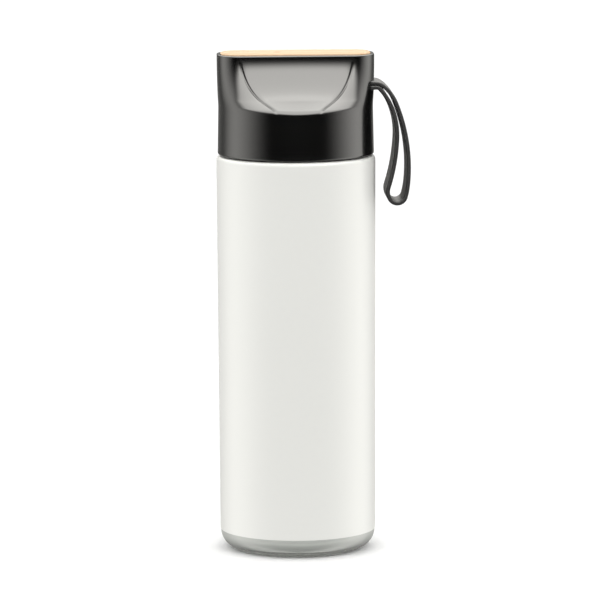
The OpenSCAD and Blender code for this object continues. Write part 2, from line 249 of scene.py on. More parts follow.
INNER_TOP = BODY_H - WALL - 1 * MM
FOOT_R = 24 * MM                     # inner radius of the ring that the bottle stands on
PUNT_H = 1.2 * MM                    # height of the hollow under the base, at its middle
PUNT_R, PUNT_EDGE = 16.8 * MM, 0.96 * MM  # where the hollow turns down, and its height there
STEPS = np.array([2, 1, 1, 3, 2, 0.4, 1, 2, 1, 3, 2, 2]) * MM  # close on the threaded neck
side = wall_r(np.array([0, FLOOR_T, INNER_TOP]))
glass_profile = outline(
    [
        (0, PUNT_H, 0),
        (PUNT_R, PUNT_EDGE, 12 * MM),
        (FOOT_R, 0, 3 * MM),
        (side[0], 0, BASE_CORNER),
        (BODY_R, BODY_H, SHOULDER_EDGE),
        (NECK_R, BODY_H, 1 * MM),
        (NECK_R, NECK_TOP, 1.2 * MM),
        (NECK_R - NECK_WALL, NECK_TOP, 1.2 * MM),
        (NECK_R - NECK_WALL, INNER_TOP, 1 * MM),
        (side[2] - WALL, INNER_TOP, 4 * MM),
        (side[1] - WALL, FLOOR_T, 5 * MM),
        (0, FLOOR_T, 0),
    ],
    step=STEPS,
)
glass = turned("glass_body", glass_profile, lift=thread(THREAD_TOP, 1, NECK_R))
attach(glass, "bottle")
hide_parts("glass_bottle")

# %% [markdown]
# ## White coat
#
# The body is sprayed white on the outside, and the coat stops in a sharp masked line above
# the rounded base, so the thick glass shows below it. It is a thin closed skin of its own.
# Its inner face lies a hair inside the glass, because paint touches glass with no air between.

# %% Enamel coat
COAT_START = coat_lo.z
COAT_BITE = 0.03 * MM
COAT_TOP_R = NECK_R + 3 * MM


def coat_side(offset):
    """The body's outline from the coat's lower edge to the neck, moved out by offset."""
    low = wall_r(COAT_START) + offset
    return [
        (low, COAT_START, 0.05 * MM),
        (BODY_R + offset, BODY_H + offset, SHOULDER_EDGE + offset),
        (COAT_TOP_R, BODY_H + offset, 0.05 * MM),
    ]


coat_profile = outline(coat_side(COAT_T) + coat_side(-COAT_BITE)[::-1], 3 * MM, closed=True)
coat = turned("enamel_coat", coat_profile, around=256, closed=True)
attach(coat, "bottle")
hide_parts("white_coat")

# %% [markdown]
# ## Lid shell
#
# The lid is one moulding that is round where it meets the bottle and pinched to a flat oblong
# at its top. Such a shape is a loft: a round plan and an oblong plan are walked by the same
# number u, and a section part of the way up is a mix of the two. The front follows an arc
# that is upright at the rim and goes on as a straight slope to the round skirt, where it ends
# in a crease that is rounded by a small curve. A groove marks the line between the front and
# the corners. Subdivision would need many guide edges for a crease and a groove, so the grid
# is worked out directly.

# %% Plans of the lid
LID_Z = shell_lo.z
RIM_Z = shell_hi.z
SKIRT_H = 21.2 * MM
LID_R = 33.6 * MM
WAIST_R = 33.2 * MM
TOP_W = shell_hi.x
TOP_D = 15 * MM
TOP_CORNER = 9.6 * MM
CORNER_DEPTH = 11.8 * MM
WAIST_Z = LID_Z + SKIRT_H
PINCH_H = RIM_Z - WAIST_Z
END_SEED, FRONT_SEED = 3 * MM, 9.2 * MM  # half widths of the end and front on the circle
END_SHARE, FRONT_SHARE = 0.125, 0.25     # shares of a quarter's walk that they take
LEAN = np.radians(62)                # of the front at the waist, from upright
PINCH_R = (PINCH_H * np.sin(LEAN) - (WAIST_R - TOP_D) * np.cos(LEAN)) / (1 - np.cos(LEAN))


def half_depth(z):
    """Half depth of a section: an arc of radius PINCH_R, upright at the rim, as far as LEAN,
    then a straight slope to the waist."""
    down = np.clip(RIM_Z - z, 0, PINCH_H)
    arc = TOP_D + PINCH_R - np.sqrt(PINCH_R**2 - np.clip(down, 0, PINCH_R * np.sin(LEAN)) ** 2)
    slope = WAIST_R - (PINCH_H - down) * np.tan(LEAN)
    return np.where(down < PINCH_R * np.sin(LEAN), arc, slope)


def flatness(z):
    """0 where the section is round, at the waist, and 1 where it is the flat top's."""
    return (WAIST_R - half_depth(z)) / (WAIST_R - TOP_D)


FRONT_U = 1 - FRONT_SHARE            # u of the line where the flat front meets the corner
CLOSE_FROM, CLOSE_TO = FRONT_U - 0.024, FRONT_U + 0.01  # u of the close columns about it
QUARTER = np.concatenate([
    np.linspace(0, CLOSE_FROM, 44, endpoint=False),
    np.linspace(CLOSE_FROM, FRONT_U, 14, endpoint=False),
    np.linspace(FRONT_U, CLOSE_TO, 11, endpoint=False),
    np.linspace(CLOSE_TO, 1, 16, endpoint=False),
])                                   # u of the columns in a quarter, close about that line
U = np.concatenate([QUARTER, [1], QUARTER[:0:-1]] * 2)


def plan(s, r, t):
    """x and y round a section: (1 - s) of a circle of radius r - t plus s of the oblong top
    pulled in by t. In each quarter u runs from the end on the X axis (0) to the front (1)."""
    s, r, t = (np.atleast_1d(v)[:, None] for v in np.broadcast_arrays(s, r, t))
    sign_x = np.repeat([1, -1, -1, 1], len(QUARTER))
    sign_y = np.repeat([1, 1, -1, -1], len(QUARTER))
    end, front = U < END_SHARE, U > FRONT_U
    middle = (U - END_SHARE) / (1 - END_SHARE - FRONT_SHARE)
    on_end, on_front = U / END_SHARE, (1 - U) / FRONT_SHARE
    e, f = np.arcsin(END_SEED / (r - t)), np.arcsin(FRONT_SEED / (r - t))
    a = np.where(end, e * on_end, np.where(front, np.pi / 2 - f * on_front,
                                           e + (np.pi / 2 - e - f) * middle))
    flat_x, flat_y = TOP_W - TOP_CORNER, TOP_D - CORNER_DEPTH
    c = np.pi / 2 * middle
    top_x = np.where(end, TOP_W - t, np.where(front, flat_x * on_front,
                                              flat_x + (TOP_CORNER - t) * np.cos(c)))
    top_y = np.where(end, flat_y * on_end, np.where(front, TOP_D - t,
                                                    flat_y + (CORNER_DEPTH - t) * np.sin(c)))
    x = sign_x * ((1 - s) * (r - t) * np.cos(a) + s * top_x)
    y = sign_y * ((1 - s) * (r - t) * np.sin(a) + s * top_y)
    return x, y


def rings(s, r, t, z):
    """Grid of points for arrays of flatness s, radius r, inset t and height z."""
    s, r, t, z = np.broadcast_arrays(s, r, t, z)
    x, y = plan(s, r, t)
    return np.stack([x, y, z.reshape(-1, 1) + 0 * x], -1)


# %% Lid shell grid
SHELL_WALL = 1.8 * MM
LID_EDGE = 1.3 * MM
RIM_W = 1.5 * MM
RIM_EDGE = 0.4 * MM
CREASE = 1.6 * MM                    # half width of the rounding on the crease
RECESS = RIM_Z - (bamboo_lo.z - 0.3 * MM)


def skirt_r(z):
    """Radius of the skirt: straight from the lid's lower edge to its waist."""
    return LID_R + (WAIST_R - LID_R) * (z - LID_Z) / SKIRT_H


ceiling = RIM_Z - RECESS - SHELL_WALL
inner_z = np.linspace(ceiling, WAIST_Z + 0.4 * MM, 24)
drop = SHELL_WALL * np.clip((RIM_Z - inner_z) / PINCH_H, 0, 1)
inner = rings(flatness(inner_z), WAIST_R, SHELL_WALL, inner_z - drop)
inner_skirt_z = np.linspace(WAIST_Z - SHELL_WALL - 0.5 * MM, LID_Z + 0.6 * MM, 16)
inner_skirt = rings(0, skirt_r(inner_skirt_z) - SHELL_WALL, 0, inner_skirt_z)
a = np.linspace(0, np.pi / 2, 7)
lip_in = rings(0, skirt_r(LID_Z) - SHELL_WALL + 0.4 * MM * (1 - np.cos(a)), 0,
               LID_Z + 0.4 * MM * (1 - np.sin(a)))
lip_out = rings(0, skirt_r(LID_Z) - LID_EDGE + LID_EDGE * np.sin(a), 0,
                LID_Z + LID_EDGE * (1 - np.cos(a)))
skirt_z = np.linspace(LID_Z + LID_EDGE + 0.15 * MM, WAIST_Z - CREASE, 28)
skirt = rings(0, skirt_r(skirt_z), 0, skirt_z)
climb = np.linspace(0, 1, 90) ** 1.6
pinch_z = WAIST_Z + (RIM_Z - RIM_EDGE - WAIST_Z) * climb
pinch = rings(flatness(pinch_z), WAIST_R, 0, pinch_z)
rim_z = RIM_Z - RIM_EDGE * (1 - np.sin(a))
rim = rings(1, WAIST_R, RIM_EDGE * (1 - np.cos(a)), rim_z)
rim_in = rings(1, WAIST_R, RIM_W - 0.2 * MM * (1 - np.sin(a[::-1])),
               RIM_Z - 0.2 * MM * (1 - np.cos(a[::-1]))[::-1])
recess = rings(1, WAIST_R, RIM_W, np.array([RIM_Z - 0.6 * MM, RIM_Z - RECESS]))


def crease_rows(below, crest, above, count=12):
    """Rows of the curve (1-t)^2 below + 2 t (1-t) crest + t^2 above, for t from 0 to 1."""
    t = np.linspace(0, 1, count)[:, None, None]
    return (1 - t) ** 2 * below + 2 * t * (1 - t) * crest + t * t * above


GROOVE_DEPTH = 0.6 * MM
GROOVE_W = 0.7 * MM
GROOVE_FADE = 0.6 * MM               # height over which it starts above the waist
GROOVE_END = 12 * GROOVE_FADE        # height over which it runs out under its top
GROOVE_TOP = RIM_Z - 2.5 * MM


def grooved(points):
    """Press a groove along the line where the front meets the corners: points move inwards
    along their normal by GROOVE_DEPTH * exp(-(d / GROOVE_W)^2), where d is the distance to
    that line in the same section, and the groove fades out at its two ends."""
    along_row = np.roll(points, -1, axis=1) - np.roll(points, 1, axis=1)
    normal = np.cross(along_row, np.gradient(points, axis=0))
    normal /= np.linalg.norm(normal, axis=-1, keepdims=True)
    line = np.flatnonzero(np.isclose(U, FRONT_U))
    quarter = np.arange(len(U)) // len(QUARTER)
    away = np.linalg.norm(points - points[:, line[quarter]], axis=-1)
    z = points[:, :, 2]
    low = np.clip((z - WAIST_Z) / GROOVE_FADE, 0, 1)
    high = np.clip((GROOVE_TOP - z) / GROOVE_END, 0, 1)
    depth = GROOVE_DEPTH * np.exp(-(away / GROOVE_W) ** 2) * low * high
    return points - normal * depth[..., None]


pinch = grooved(pinch)
crest = pinch[0]
step_up = pinch[1:] - crest
reach = np.linalg.norm(step_up, axis=-1)
near = np.argmax(reach > CREASE, axis=0)
column = np.arange(crest.shape[0])
along = step_up[near, column] / reach[near, column][:, None]
fillet = crease_rows(skirt[-1], crest, crest + along * CREASE)
pinch_rows = pinch[1:][reach.min(axis=1) > CREASE * 1.02]
shell_points = np.concatenate([inner, inner_skirt, lip_in, lip_out, skirt[:-1], fillet,
                               pinch_rows, rim, rim_in, recess])
shell = grid_piece("lid_moulding", shell_points)

# %% [markdown]
# ### Slot for the strap
#
# The strap passes through a slot with round ends in one end of the lid. The slot is cut by a
# Boolean with a prism, because a true hole shows its wall and lets the band pass. Edges that
# turn by more than 35 degrees are then marked sharp, so that the hole doesn't smear the
# shading of the face around it.

# %% Cut the slot
SLOT_Z = (pin_lo.z + pin_hi.z) / 2
SLOT_H = 4.5 * MM
SLOT_W = bight_hi.y - bight_lo.y + 1.2 * MM


def stadium(width, height, count=24):
    """Outline of a slot: two half circles joined by straights, as y and z about its centre."""
    t = np.linspace(-np.pi / 2, np.pi / 2, count)
    y = (width - height) / 2 + height / 2 * np.cos(t)
    z = height / 2 * np.sin(t)
    return np.concatenate([y, -y]), np.concatenate([z, -z])


def apply_modifiers(piece):
    """Replace a piece's mesh by what its modifiers make of it."""
    deps = bpy.context.evaluated_depsgraph_get()
    final = bpy.data.meshes.new_from_object(piece.evaluated_get(deps))
    piece.modifiers.clear()
    piece.data = final


slot_y, slot_rise = stadium(SLOT_W, SLOT_H)
slot_x = np.array([TOP_W - 7 * MM, TOP_W + 4 * MM])[:, None] + 0 * slot_y
cutter = grid_piece("slot_cutter", np.stack(
    [slot_x, slot_y + 0 * slot_x, slot_rise + SLOT_Z + 0 * slot_x], -1))
cut = shell.modifiers.new("slot", "BOOLEAN")
cut.object, cut.operation, cut.solver = cutter, "DIFFERENCE", "EXACT"
apply_modifiers(shell)
bpy.data.objects.remove(cutter)
shell.data.set_sharp_from_angle(angle=np.radians(35))
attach(shell, "lid")
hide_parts("lid_shell")
print("shell faces", len(shell.data.polygons))

# %% [markdown]
# ## Bamboo top
#
# A plate of side-pressed bamboo is glued into the recess. It is sawn to the lid's own oblong
# plan, a tenth of a millimetre smaller, and its upper edge is sanded round.

# %% Bamboo plate
BAMBOO_IN = TOP_W - bamboo_hi.x
EASE = 0.5 * MM
under_z = np.array([bamboo_lo.z, bamboo_lo.z + 0.1 * MM, bamboo_hi.z - EASE - 0.1 * MM])
plate_under = rings(1, WAIST_R, BAMBOO_IN, under_z)
plate_ease = rings(1, WAIST_R, BAMBOO_IN + EASE * (1 - np.cos(a)),
                   bamboo_hi.z - EASE * (1 - np.sin(a)))
plate_top = rings(1, WAIST_R, BAMBOO_IN + EASE + np.array([0.1, 2, 5, 8]) * MM, bamboo_hi.z)
bamboo = grid_piece("bamboo_plate", np.concatenate([plate_under, plate_ease, plate_top]))
bamboo.data.set_sharp_from_angle(angle=np.radians(40))
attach(bamboo, "lid")
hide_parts("bamboo_top")

# %% [markdown]
# ## Liner
#
# Inside the shell a cup of uncoloured polypropylene carries the thread and holds the seal.
# Its flange is welded to the shell, and two posts on its top hold the strap's steel pin. The
# thread ridges are the same bump as on the neck, turned inwards and half a lead lower, so
# the two threads interlock.

# %% Liner cup and posts
LINER_IN = NECK_R + THREAD_H + THREAD_GAP
LINER_WALL = 1.6 * MM
PLATE_Z = seal_hi.z + 0.05 * MM
CUP_TOP = PLATE_Z + 2 * MM
FLANGE_Z = LID_Z + LID_EDGE
FLANGE_H = 2 * MM
flange_r = skirt_r(FLANGE_Z) - SHELL_WALL
liner_profile = outline(
    [
        (0, PLATE_Z, 0),
        (LINER_IN, PLATE_Z, 0.6 * MM),
        (LINER_IN, FLANGE_Z, 0.4 * MM),
        (flange_r, FLANGE_Z, 0.4 * MM),
        (flange_r, FLANGE_Z + FLANGE_H, 0.3 * MM),
        (LINER_IN + LINER_WALL, FLANGE_Z + FLANGE_H + 1 * MM, 1 * MM),
        (LINER_IN + LINER_WALL, CUP_TOP, 0.6 * MM),
        (0, CUP_TOP, 0),
    ],
    step=0.6 * MM,
)
liner_thread = thread(THREAD_TOP - THREAD_LEAD / THREAD_STARTS / 2, -1, LINER_IN)
liner = turned("liner_cup", liner_profile, lift=liner_thread)
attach(liner, "lid")
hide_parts("lid_liner")

PIN_X = (pin_lo.x + pin_hi.x) / 2
PIN_R = (pin_hi.x - pin_lo.x) / 2
POST_R = PIN_R + 2 * MM
POST_T = 2.6 * MM


def post(name, y):
    """A post of thickness POST_T with a half round top about the pin: each column is an
    angle t, at (POST_R cos t, POST_R sin t) above the pin and straight down below it."""
    t = np.linspace(0, np.pi, 33)
    x = np.concatenate([PIN_X + POST_R * np.cos(t), [PIN_X - POST_R, PIN_X + POST_R]])
    z = np.concatenate([SLOT_Z + POST_R * np.sin(t), [CUP_TOP - 0.3 * MM] * 2])
    inset = np.array([0.2, 0, 0, 0.2]) * MM
    along_y = y + POST_T * np.array([-0.5, -0.42, 0.42, 0.5])
    grow = 1 - (inset / POST_R)[:, None]
    points = np.stack([PIN_X + (x - PIN_X) * grow, along_y[:, None] + 0 * x * grow,
                       z + 0 * grow], -1)
    piece = grid_piece(name, points)
    piece.data.set_sharp_from_angle(angle=np.radians(50))
    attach(piece, "lid")
    return piece


post_y = pin_hi.y - POST_T / 2
posts = [post("post_near", -post_y), post("post_far", post_y)]

# %% [markdown]
# ## Seal
#
# A flat silicone ring lies on the neck's rim and is pressed by the liner. It is turned from
# a rounded rectangle.

# %% Seal ring
SEAL_IN = seal_hi.x - 5 * MM
seal_profile = outline(
    [
        (SEAL_IN, seal_lo.z, 0.4 * MM),
        (seal_hi.x, seal_lo.z, 0.4 * MM),
        (seal_hi.x, seal_hi.z, 0.4 * MM),
        (SEAL_IN, seal_hi.z, 0.4 * MM),
    ],
    step=0.6 * MM,
    closed=True,
)
seal = turned("silicone_seal", seal_profile, closed=True)
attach(seal, "seal")
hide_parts("seal_ring")

# %% [markdown]
# ## Carry strap
#
# The strap is one flat moulded band of silicone. Both its ends run through the slot and round
# the steel pin, so it is a closed ring. Its middle line is a chain of arcs, each a length
# and a turn, and a rounded rectangle is carried along it.

# %% Middle line of the strap
STRAP_T = 1.76 * MM
STRAP_W = band_hi.y - band_lo.y
swing = next(joint for joint in frame["joints"] if joint["name"] == "strap_swing")
ROOT = np.array([swing["pos_m"][0], swing["pos_m"][2]])
ROOT_TILT = np.radians(-30)
BEND_R = 3 * MM                      # radius at which the two layers bend over the slot's lip
# Length in mm and turn in degrees of each arc, from the slot over the top and back.
LOOP = np.array([[3.7, -18], [7.1, -20], [34.7, -27], [6.2, -10], [8.7, -135], [5.2, -48],
                 [9.5, 7], [11.8, 8], [12.4, 22], [10.9, 23], [0.6, 18]])


def walk(arcs, start, heading, step=0.5 * MM):
    """Points of a chain of arcs (length in mm, turn in degrees) from a start and a heading:
    the heading grows evenly along each arc, and the points are its running sum."""
    counts = np.maximum(3, (arcs[:, 0] * MM / step).astype(int))
    lengths = np.repeat(arcs[:, 0] * MM / counts, counts)
    turns = np.repeat(np.radians(arcs[:, 1]) / counts, counts)
    ahead = heading + np.cumsum(turns) - turns / 2
    steps = lengths[:, None] * np.stack([np.cos(ahead), np.sin(ahead)], -1)
    return np.vstack([[start], start + np.cumsum(steps, axis=0)])


def arc_points(centre, radius, start, end, count):
    """Points of an arc about a centre, from one angle to another, in radians."""
    t = np.linspace(start, end, count)[:, None]
    return centre + radius * np.hstack([np.cos(t), np.sin(t)])


upright = np.array([-np.sin(ROOT_TILT), np.cos(ROOT_TILT)])
upper_root, lower_root = ROOT + upright * STRAP_T / 2, ROOT - upright * STRAP_T / 2
loop = walk(LOOP, upper_root, ROOT_TILT)
drift = loop[-1] - lower_root
loop -= drift * np.linspace(0, 1, len(loop))[:, None]
print("loop length", round(float(np.abs(LOOP[:, 0]).sum()), 1), "mm, closing drift",
      round(float(np.linalg.norm(drift) / MM), 2), "mm")

bend_centre = ROOT - upright * BEND_R
top, tilt = np.pi / 2, np.pi / 2 + ROOT_TILT
upper_bend = arc_points(bend_centre, BEND_R + STRAP_T / 2, top, tilt, 7)
lower_bend = arc_points(bend_centre, BEND_R - STRAP_T / 2, tilt, top, 7)
PIN = np.array([PIN_X, SLOT_Z])
EYE_R = PIN_R + STRAP_T / 2 + 0.05 * MM
eye = arc_points(PIN, EYE_R, -np.pi / 2, -3 * np.pi / 2, 17)


def ease_between(p, q, count):
    """A smooth S from p to q: level at both ends, z = p + (q - p) * t * t * (3 - 2 t)."""
    t = np.linspace(0, 1, count)[1:-1]
    return np.stack([p[0] + (q[0] - p[0]) * t, p[1] + (q[1] - p[1]) * t * t * (3 - 2 * t)], -1)


band_line = np.vstack([eye, ease_between(eye[-1], upper_bend[0], 16), upper_bend, loop[1:-1],
                       lower_bend, ease_between(lower_bend[-1], eye[0], 16)])

# %% [markdown]
# The section of the band is a rectangle with round edges. At every point of the middle line
# it stands square to the line: its thickness lies along the line's normal and its width along
# Y. That is a grid too, with the line as rows and the section as columns.


# %% Carry the section along the line
def band(name, line, thickness, width, edge):
    """Points: line + normal * across + Y * sideways, where (across, sideways) runs round a
    rectangle with corner radius edge, and the normal is the line's tangent turned left."""
    tangent = np.roll(line, -1, axis=0) - np.roll(line, 1, axis=0)
    tangent /= np.linalg.norm(tangent, axis=1, keepdims=True)
    normal = np.stack([-tangent[:, 1], tangent[:, 0]], -1)
    t, w = thickness / 2, width / 2
    section = outline([(-t, -w, edge), (t, -w, edge), (t, w, edge), (-t, w, edge)],
                      step=1.6 * MM, closed=True)
    across, sideways = section[:, 0], section[:, 1]
    x = line[:, :1] + normal[:, :1] * across
    z = line[:, 1:] + normal[:, 1:] * across
    y = np.broadcast_to(sideways, x.shape)
    return grid_piece(name, np.stack([x, y, z], -1), close_rows=True)


strap = band("carry_strap", band_line, STRAP_T, STRAP_W, 0.45 * MM)
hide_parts("strap_loop", "strap_bight")

# %% [markdown]
# ## Materials
#
# Every finish is a node network. One function adds a node, sets it and links it, and another
# turns a hex colour as seen on a screen into the linear values that a renderer adds up.


# %% Material helpers
def linear(hex_colour):
    """sRGB hex to linear RGBA: c / 12.92 below 0.04045, else ((c + 0.055) / 1.055) ^ 2.4."""
    c = np.array([int(hex_colour[k : k + 2], 16) / 255 for k in (0, 2, 4)])
    c = np.where(c <= 0.04045, c / 12.92, ((c + 0.055) / 1.055) ** 2.4)
    return (*c.tolist(), 1.0)


def add(tree, kind, *values, **settings):
    """Add a node of a kind and give its first output that is in use. Values fill its inputs
    in order. A setting fills the input that it names, with _ for a space, or else it is a
    property of the node. A value that is an output socket is linked."""
    node = tree.nodes.new(kind)
    known = {s.name.lower().replace(" ", "_") for s in node.inputs}
    for key in settings.keys() - known:
        setattr(node, key, settings[key])
    inputs = [s for s in node.inputs if s.enabled]
    named = {s.name.lower().replace(" ", "_"): s for s in reversed(inputs)}
    fill = list(zip(inputs, values)) + [(named[k], settings[k]) for k in settings.keys() & known]
    for socket, value in fill:
        if isinstance(value, bpy.types.NodeSocket):
            tree.links.new(value, socket)
        else:
            socket.default_value = value
    return next((s for s in node.outputs if s.enabled), None)


def new_material(name):
    """An empty material with its tree and its object coordinates."""
    material = bpy.data.materials.new(name)
    material.use_nodes = True
    tree = material.node_tree
    tree.nodes.clear()
    return material, tree, add(tree, "ShaderNodeTexCoord").node.outputs["Object"]


def put_on(material, *pieces):
    """Give pieces this material and no other."""
    for piece in pieces:
        piece.data.materials.clear()
        piece.data.materials.append(material)
    print(material.name, "on", ", ".join(piece.name for piece in pieces))


# %% [markdown]
# ### Soda-lime glass
#
# Bottle glass is soda-lime glass with a trace of iron: clear when thin and grey-green where
# the light goes far through it, as in the thick base. A volume that absorbs a little red
# gives that, and blowing in a mould leaves the surface very slightly wavy. Below the coat's
# masked edge a mist of fine enamel drops settled on the glass. It is dense at the edge and thins
# out towards the foot, so the clear base starts pale and darkens downwards.

# %% Glass
MIST_HIGH, MIST_LOW = 0.85, 0.1      # share of the glass that the drops cover, by height
MIST_FADE = 2 * MM                   # the mist fades from this far outside FOOT_R to as far inside
MIST_OVER = 0.4 * MM                 # it ends this far above the coat's edge, out of sight
WAVES = 60                           # per metre: waves of the blown surface 17 mm long
glass_material, tree, place = new_material("blown_soda_lime_glass")
waves = add(tree, "ShaderNodeTexNoise", vector=place, scale=WAVES, detail=1)
wavy = add(tree, "ShaderNodeBump", height=waves, strength=0.12, distance=0.4 * MM)
clear = add(tree, "ShaderNodeBsdfPrincipled", base_color=linear("F4F8F6"), roughness=0.06,
            ior=1.52, transmission_weight=1.0, normal=wavy)
misted = add(tree, "ShaderNodeBsdfPrincipled", base_color=linear("CFD1CC"), roughness=0.4,
             ior=1.5)
axes = add(tree, "ShaderNodeSeparateXYZ", vector=place).node.outputs
level = add(tree, "ShaderNodeCombineXYZ", x=axes["X"], y=axes["Y"])
radius = add(tree, "ShaderNodeVectorMath", level, operation="LENGTH")
outside = add(tree, "ShaderNodeMapRange", value=radius, from_min=FOOT_R - MIST_FADE,
              from_max=FOOT_R + MIST_FADE)
by_height = add(tree, "ShaderNodeMapRange", value=axes["Z"], from_max=COAT_START,
                to_min=MIST_LOW, to_max=MIST_HIGH)
below_coat = add(tree, "ShaderNodeMath", axes["Z"], COAT_START + MIST_OVER,
                 operation="LESS_THAN")
mist = add(tree, "ShaderNodeMath", outside, by_height, operation="MULTIPLY")
mist = add(tree, "ShaderNodeMath", mist, below_coat, operation="MULTIPLY")
surface = add(tree, "ShaderNodeMixShader", mist, clear, misted)
absorb = add(tree, "ShaderNodeVolumeAbsorption", color=linear("C6CAC5"), density=60)
add(tree, "ShaderNodeOutputMaterial", surface=surface, volume=absorb)
put_on(glass_material, glass)

# %% [markdown]
# ### Sprayed enamel
#
# The coat is a warm white two-part enamel, sprayed and baked. It has a soft gloss and the faint
# orange peel of a sprayed film, waves 2 to 4 mm long and a few thousandths of a millimetre
# high, and its white drifts a little in tone where the film is thicker.

# %% Enamel
TONES = 14                           # per metre: the tone drifts over 70 mm
PEEL = 420                           # per metre: waves of orange peel 2.4 mm long
enamel_material, tree, place = new_material("sprayed_white_enamel")
drift = add(tree, "ShaderNodeTexNoise", vector=place, scale=TONES, detail=2)
tone = add(tree, "ShaderNodeMix", data_type="RGBA", factor=drift, a=linear("F1F1EC"),
           b=linear("F4F4EF"))
peel = add(tree, "ShaderNodeTexNoise", vector=place, scale=PEEL, detail=1.5)
peeled = add(tree, "ShaderNodeBump", height=peel, strength=0.05, distance=0.05 * MM)
surface = add(tree, "ShaderNodeBsdfPrincipled", base_color=tone, roughness=0.3, ior=1.5,
              specular_ior_level=0.3, normal=peeled)
add(tree, "ShaderNodeOutputMaterial", surface=surface)
put_on(enamel_material, coat)

# %% [markdown]
# ### Moulded black polypropylene
#
# The lid is injection moulded in a spark-eroded tool, which prints a fine even texture, so
# it is satin and not glossy. The real grit is about 0.05 mm. It is drawn at 0.25 mm, the
# finest that shows, and its roughness drifts slowly as on real mouldings.

# %% Black polypropylene
GRIT = 0.5 * MM                      # period of the noise, whose grains are half as wide
CLOUDS = 30                          # per metre: the roughness drifts over 33 mm
black_material, tree, place = new_material("spark_textured_black_polypropylene")
grit = add(tree, "ShaderNodeTexNoise", vector=place, scale=1 / GRIT, detail=2)
cloud = add(tree, "ShaderNodeTexNoise", vector=place, scale=CLOUDS, detail=2)
satin = add(tree, "ShaderNodeMapRange", value=cloud, to_min=0.15, to_max=0.19)
gritty = add(tree, "ShaderNodeBump", height=grit, strength=0.14, distance=0.04 * MM)
surface = add(tree, "ShaderNodeBsdfPrincipled", base_color=linear("060606"), ior=1.5,
              roughness=satin, normal=gritty)
add(tree, "ShaderNodeOutputMaterial", surface=surface)
put_on(black_material, shell)

# %% [markdown]
# ### Side-pressed bamboo
#
# Laminated bamboo is made of strips glued side by side. With side pressing the strips stand
# on edge, so each shows as a stripe about 5 mm wide. Along it run fine fibres, and here and
# there a node of the cane crosses one strip as a darker, slightly raised knuckle. A strip's
# number is its place across divided by the strip's width, rounded down, and that number
# gives it its own shade and the places of its knuckles.

# %% Bamboo strips
STRIP = 5.2 * MM                     # width of a strip
FIRST_STRIP = 0.37                   # share of the middle strip in front of the lid's middle
SEAM = 0.035                         # half width of a glue line, as a share of a strip
SEAM_ROUND = 0.02                    # how softly the two sides of a strip meet in its middle
bamboo_material, tree, place = new_material("side_pressed_bamboo")
axes = add(tree, "ShaderNodeSeparateXYZ", vector=place).node.outputs
across = add(tree, "ShaderNodeMath", axes["Y"], STRIP, operation="DIVIDE")
across = add(tree, "ShaderNodeMath", across, FIRST_STRIP, operation="ADD")
number = add(tree, "ShaderNodeMath", across, operation="FLOOR")
inside = add(tree, "ShaderNodeMath", across, operation="FRACT")
shade = add(tree, "ShaderNodeTexWhiteNoise", noise_dimensions="1D", w=number)
rest = add(tree, "ShaderNodeMath", 1.0, inside, operation="SUBTRACT")
to_seam = add(tree, "ShaderNodeMath", inside, rest, SEAM_ROUND,
              operation="SMOOTH_MIN")
off_seam = add(tree, "ShaderNodeMapRange", value=to_seam, from_max=SEAM)
on_seam = add(tree, "ShaderNodeMath", 1.0, off_seam, operation="SUBTRACT")

# %% Bamboo fibres, streaks and knuckles
FIBRES = (45, 1400, 400)             # per metre: 22 mm long, 0.7 mm wide, 2.5 mm deep
STREAKS = (14, 5200, 900)            # per metre: 71 mm long, 0.2 mm wide, 1.1 mm deep
KNUCKLE_EVERY = 95 * MM
KNUCKLE_CORE, KNUCKLE_EDGE = 0.006, 0.022  # half widths, as shares of KNUCKLE_EVERY
stretched = add(tree, "ShaderNodeMapping", vector=place, scale=FIBRES)
fibres = add(tree, "ShaderNodeTexNoise", vector=stretched, scale=1, detail=3)
streaked = add(tree, "ShaderNodeMapping", vector=place, scale=STREAKS)
streaks = add(tree, "ShaderNodeTexNoise", vector=streaked, scale=1, detail=1)
along = add(tree, "ShaderNodeMath", axes["X"], KNUCKLE_EVERY, operation="DIVIDE")
along = add(tree, "ShaderNodeMath", along, shade, operation="ADD")
along = add(tree, "ShaderNodeMath", along, operation="FRACT")
to_knuckle = add(tree, "ShaderNodeMath", along, 0.5, operation="SUBTRACT")
to_knuckle = add(tree, "ShaderNodeMath", to_knuckle, operation="ABSOLUTE")
knuckle = add(tree, "ShaderNodeMapRange", value=to_knuckle, from_min=KNUCKLE_CORE,
              from_max=KNUCKLE_EDGE, to_min=1.0, to_max=0.0,
              interpolation_type="SMOOTHSTEP")

# %% Bamboo colour and relief
colour = add(tree, "ShaderNodeValToRGB", fac=shade)
shades = colour.node.color_ramp.elements
shades[0].color, shades[1].color = linear("D2B697"), linear("E0CAB2")
shades.new(0.5).color = linear("D9BFA4")
fibre_amount = add(tree, "ShaderNodeMapRange", value=fibres, from_min=0.42, from_max=0.72,
                   to_max=0.5)
streak_amount = add(tree, "ShaderNodeMapRange", value=streaks, from_min=0.6, from_max=0.78,
                    to_max=0.55)
knuckle_amount = add(tree, "ShaderNodeMath", knuckle, 0.35, operation="MULTIPLY")
seam_amount = add(tree, "ShaderNodeMath", on_seam, 0.5, operation="MULTIPLY")
for amount, over in [(fibre_amount, "C79C62"), (streak_amount, "A87B45"),
                     (knuckle_amount, "9A6C3A"), (seam_amount, "A98353")]:
    colour = add(tree, "ShaderNodeMix", data_type="RGBA", factor=amount, a=colour,
                 b=linear(over))
relief = 0.0
for part, share in [(off_seam, 0.4), (knuckle, 0.6), (streaks, 0.5)]:
    relief = add(tree, "ShaderNodeMath", part, share, relief, operation="MULTIPLY_ADD")
raised = add(tree, "ShaderNodeBump", height=relief, strength=0.35, distance=0.08 * MM)
